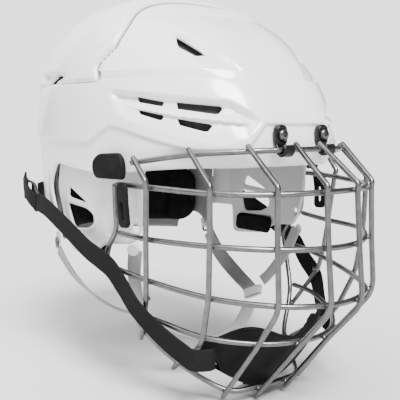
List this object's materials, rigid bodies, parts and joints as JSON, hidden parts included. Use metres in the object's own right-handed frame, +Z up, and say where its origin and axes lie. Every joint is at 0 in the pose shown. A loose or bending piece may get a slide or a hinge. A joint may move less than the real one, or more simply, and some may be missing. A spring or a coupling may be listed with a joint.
{
  "type": "hockey helmet cage",
  "caption": "Ice hockey helmet in a two-piece vented shell with a hinged wire face cage, chin cup, ear guards, pads and straps.",
  "frame": {"origin": "middle of the head opening, level with the cage's brow bar; the head holds the helmet there", "axes": "+Z up, -Y the way the face looks, +X the wearer's left"},
  "size_m": [0.2166, 0.3401, 0.3061],
  "materials": {
    "gloss_white": "glossy moulded",
    "white_plastic": "satin moulded",
    "grey_foam": "moulded foam",
    "black_foam": "soft foam with a cloth face",
    "black_rubber": "matte",
    "black_plastic": "satin",
    "satin_steel": "satin plated wire",
    "black_webbing": "woven webbing",
    "grey_webbing": "woven webbing"
  },
  "bodies": {
    "helmet": {"front_shell": "gloss_white", "front_liner": "grey_foam", "forehead_pad": "black_foam", "temple_pad_right": "black_foam", "temple_pad_left": "black_foam", "crown_pad_front": "black_foam", "ear_guard_right": "white_plastic", "ear_guard_left": "white_plastic", "ear_pad_right": "black_foam", "ear_pad_left": "black_foam", "front_clip_right": "black_plastic", "front_clip_left": "black_plastic", "front_clip_screw_right": "black_plastic", "front_clip_screw_left": "black_plastic", "chin_strap_front_right": "grey_webbing", "chin_strap_front_left": "grey_webbing", "chin_strap_rear_right": "grey_webbing", "chin_strap_rear_left": "grey_webbing", "strap_loop_right": "white_plastic", "strap_loop_left": "white_plastic", "chin_snap_right": "white_plastic", "chin_snap_left": "white_plastic", "strap_hook_right": "white_plastic", "strap_hook_left": "white_plastic", "chin_strap_under": "grey_webbing"},
    "rear_half": {"rear_shell": "gloss_white", "rear_liner": "grey_foam", "rear_pad": "black_foam", "crown_pad_rear": "black_foam", "occipital_frame": "white_plastic", "occipital_pad": "black_foam", "rear_strap": "black_webbing"},
    "cage": {"brow_bar": "satin_steel", "ring_upper": "satin_steel", "ring_middle": "satin_steel", "ring_lower": "satin_steel", "ring_chin": "satin_steel", "cage_rim": "satin_steel", "upright_a_right": "satin_steel", "upright_a_left": "satin_steel", "upright_b_right": "satin_steel", "upright_b_left": "satin_steel", "upright_c_right": "satin_steel", "upright_c_left": "satin_steel", "upright_d_right": "satin_steel", "upright_d_left": "satin_steel", "end_cap_right": "black_rubber", "end_cap_left": "black_rubber", "cap_strap_right": "black_rubber", "cap_strap_left": "black_rubber", "cage_strap_right": "black_webbing", "cage_strap_left": "black_webbing", "strap_buckle_right": "black_plastic", "strap_buckle_left": "black_plastic", "chin_cup": "black_rubber", "chin_cup_pad": "black_foam"}
  },
  "joints": [
    {"name": "cage_hinge", "type": "hinge", "parent": "helmet", "child": "cage", "pos_m": [0, -0.15, 0], "axis": [-1, 0, 0], "range_deg": [0, 95]},
    {"name": "size_slide", "type": "slide", "parent": "helmet", "child": "rear_half", "axis": [0, 1, 0], "range_m": [0, 0.006]}
  ]
}
